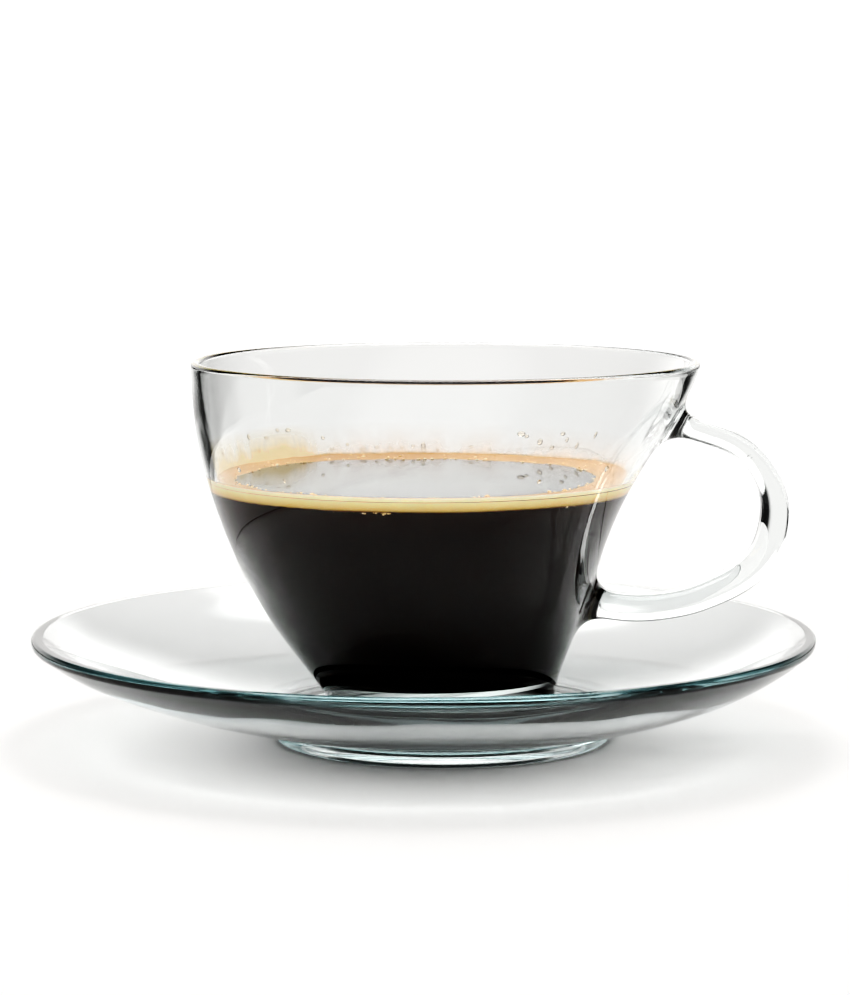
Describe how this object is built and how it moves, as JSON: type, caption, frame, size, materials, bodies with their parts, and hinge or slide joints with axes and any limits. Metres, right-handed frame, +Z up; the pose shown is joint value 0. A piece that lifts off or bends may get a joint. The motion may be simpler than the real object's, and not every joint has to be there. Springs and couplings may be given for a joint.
{
  "type": "glass coffee cup and saucer with black coffee",
  "caption": "Clear glass cup with a loop handle, leaning bowl and flared rim, filled two thirds with black coffee under a golden crema ring, standing on a clear glass saucer with a foot ring.",
  "frame": {"origin": "on the ground under the middle of the saucer's rim, the centre of the box's underside", "axes": "+Z up, +X towards the cup's handle, +Y away from the viewer who sees the handle on the right"},
  "size_m": [0.1508, 0.1508, 0.0733],
  "materials": {
    "cup_glass": "clear pressed glass, polished",
    "saucer_glass": "clear pressed glass with a faint blue-green edge, polished",
    "coffee": "black coffee, still liquid surface",
    "crema": "golden coffee foam, fine bubbles"
  },
  "bodies": {
    "root": {"glass_cup": "cup_glass", "saucer": "saucer_glass", "coffee": "coffee", "crema_ring": "crema"}
  },
  "joints": []
}
